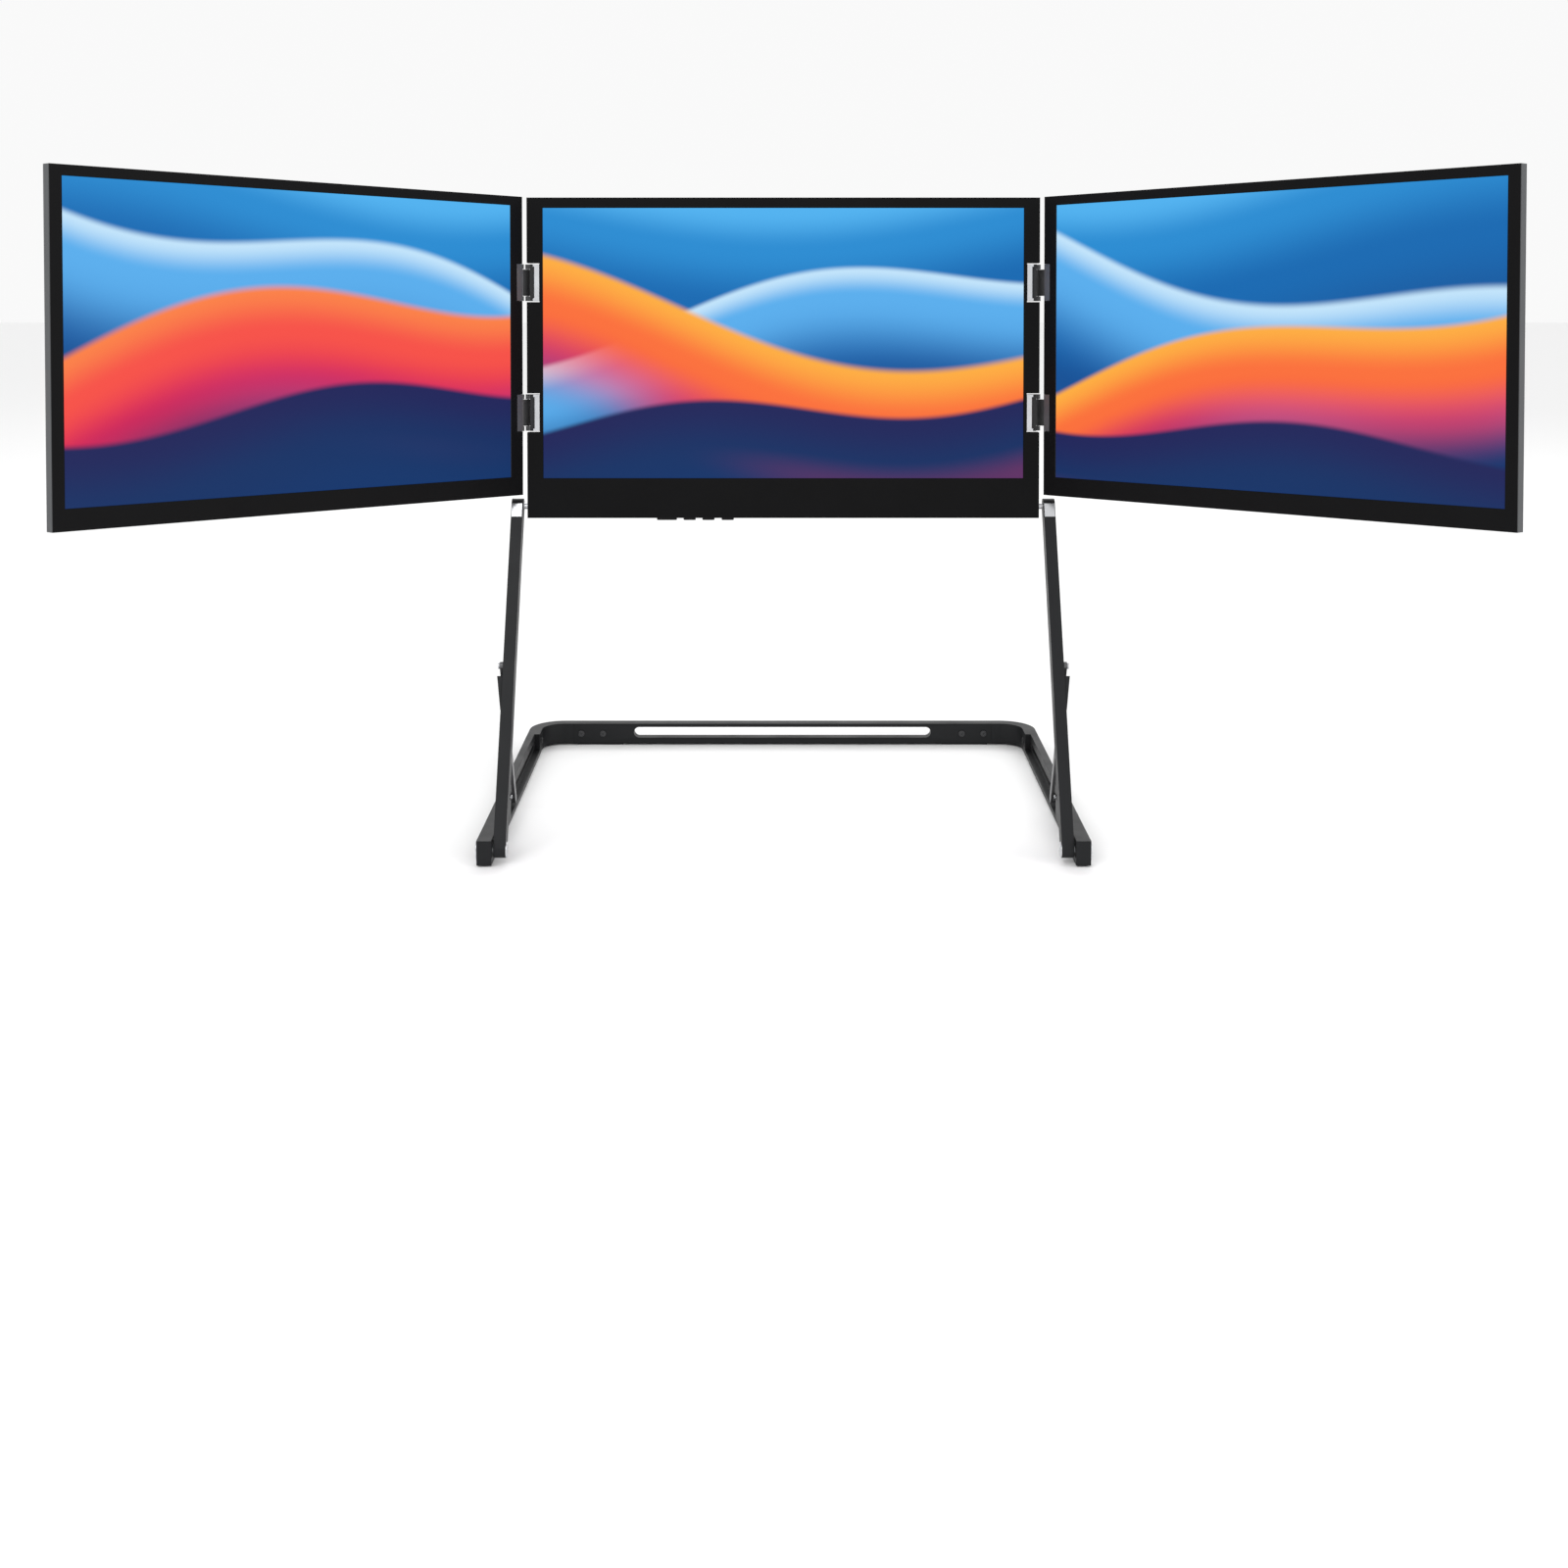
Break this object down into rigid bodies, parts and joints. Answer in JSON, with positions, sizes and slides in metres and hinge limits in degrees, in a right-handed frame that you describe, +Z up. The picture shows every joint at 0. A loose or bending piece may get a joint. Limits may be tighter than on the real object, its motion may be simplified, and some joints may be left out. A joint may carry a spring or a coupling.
{
  "type": "laptop screen extender",
  "caption": "Folding stand that holds a centre screen and two hinged side screens behind a laptop; the legs, screens and struts fold flat into a U-shaped base.",
  "frame": {"origin": "on the table under the middle of the opened unit's bounding box", "axes": "+X to the viewer's right, +Y away from the viewer, +Z up"},
  "size_m": [0.7714, 0.4297, 0.4183],
  "materials": {
    "frame_black": "satin",
    "rubber": "matte",
    "dark_steel": "satin",
    "bright_steel": "brushed",
    "shell_black": "matte",
    "bezel_black": "matte",
    "key_black": "matte",
    "screen_glass": "satin",
    "diffuser": "matte",
    "board": "satin"
  },
  "bodies": {
    "base": {"base_crossbar": "frame_black", "base_corner_left": "frame_black", "base_arm_left": "frame_black", "base_corner_right": "frame_black", "base_arm_right": "frame_black", "rubber_feet": "rubber", "corner_screws": "dark_steel", "front_pivot_pins": "bright_steel", "outer_pivot_caps": "bright_steel", "leg_latch_left": "dark_steel", "leg_latch_right": "dark_steel", "latch_screws": "dark_steel"},
    "legs": {"leg_left": "frame_black", "leg_right": "frame_black", "leg_stop_left": "frame_black", "leg_stop_right": "frame_black", "strut_upper_pins": "bright_steel", "inner_pivot_caps": "bright_steel", "leg_end_plates": "bright_steel"},
    "struts": {"strut_left": "dark_steel", "strut_right": "dark_steel", "track_pins": "bright_steel"},
    "centre_screen": {"tilt_shafts": "bright_steel", "centre_rear_shell": "shell_black", "centre_shell_screws": "dark_steel", "centre_front_frame": "bezel_black", "centre_lcd_panel": "screen_glass", "centre_backlight": "diffuser", "centre_control_board": "board", "port_sockets": "bright_steel", "speakers": "shell_black", "centre_hinge_leaves": "dark_steel", "centre_hinge_bars": "bright_steel", "centre_hinge_wells": "shell_black", "centre_hinge_pins": "bright_steel"},
    "power_key": {"key_power": "key_black"},
    "plus_key": {"key_plus": "key_black"},
    "minus_key": {"key_minus": "key_black"},
    "rocker_key": {"key_rocker": "key_black"},
    "left_links": {"hinge_links_left": "dark_steel"},
    "right_links": {"hinge_links_right": "dark_steel"},
    "left_screen": {"left_rear_shell": "shell_black", "left_shell_screws": "dark_steel", "left_front_frame": "bezel_black", "left_lcd_panel": "screen_glass", "left_backlight": "diffuser", "left_driver_board": "board", "left_hinge_leaves": "dark_steel", "left_hinge_pins": "bright_steel"},
    "right_screen": {"right_rear_shell": "shell_black", "right_shell_screws": "dark_steel", "right_front_frame": "bezel_black", "right_lcd_panel": "screen_glass", "right_backlight": "diffuser", "right_driver_board": "board", "right_hinge_leaves": "dark_steel", "right_hinge_pins": "bright_steel"}
  },
  "joints": [
    {"name": "leg_fold", "type": "hinge", "parent": "base", "child": "legs", "pos_m": [0, -0.0642, 0.0085], "axis": [-1, 0, 0], "range_deg": [0, 62.5]},
    {"name": "strut_fold", "type": "hinge", "parent": "legs", "child": "struts", "pos_m": [0, -0.01156, 0.10962], "axis": [1, 0, 0], "range_deg": [0, 125]},
    {"name": "screen_tilt", "type": "hinge", "parent": "legs", "child": "centre_screen", "pos_m": [0, 0.03739, 0.20364], "axis": [1, 0, 0], "range_deg": [0, 156]},
    {"name": "left_link_turn", "type": "hinge", "parent": "centre_screen", "child": "left_links", "pos_m": [-0.1654, 0.04614, 0.3059], "axis": [0, -0.061, -0.9981], "range_deg": [0, 140]},
    {"name": "right_link_turn", "type": "hinge", "parent": "centre_screen", "child": "right_links", "pos_m": [0.1654, 0.04864, 0.30575], "axis": [0, 0.061, 0.9981], "range_deg": [0, 137.66]},
    {"name": "left_swing", "type": "hinge", "parent": "left_links", "child": "left_screen", "pos_m": [-0.16894, 0.04194, 0.30616], "axis": [0, -0.061, -0.9981], "range_deg": [0, 89.3]},
    {"name": "right_swing", "type": "hinge", "parent": "right_links", "child": "right_screen", "pos_m": [0.17045, 0.04311, 0.30608], "axis": [0, 0.061, 0.9981], "range_deg": [0, 91.64]},
    {"name": "power_press", "type": "slide", "parent": "centre_screen", "child": "power_key", "axis": [0, 0.061, 0.9981], "range_m": [0, 0.0012], "stiffness_N_per_m": 400},
    {"name": "plus_press", "type": "slide", "parent": "centre_screen", "child": "plus_key", "axis": [0, 0.061, 0.9981], "range_m": [0, 0.0012], "stiffness_N_per_m": 400},
    {"name": "minus_press", "type": "slide", "parent": "centre_screen", "child": "minus_key", "axis": [0, 0.061, 0.9981], "range_m": [0, 0.0012], "stiffness_N_per_m": 400},
    {"name": "rocker_tip", "type": "hinge", "parent": "centre_screen", "child": "rocker_key", "pos_m": [-0.0754, 0.0378, 0.19901], "axis": [0, 0.9981, -0.061], "range_deg": [-3, 3], "stiffness_Nm_per_rad": 0.1}
  ],
  "couplings": [
    {"joint": "strut_fold", "follows": "leg_fold", "ratio": 2},
    {"joint": "screen_tilt", "follows": "leg_fold", "ratio": 2.496},
    {"joint": "left_link_turn", "follows": "leg_fold", "ratio": 2.24},
    {"joint": "right_link_turn", "follows": "leg_fold", "ratio": 2.2025}
  ]
}
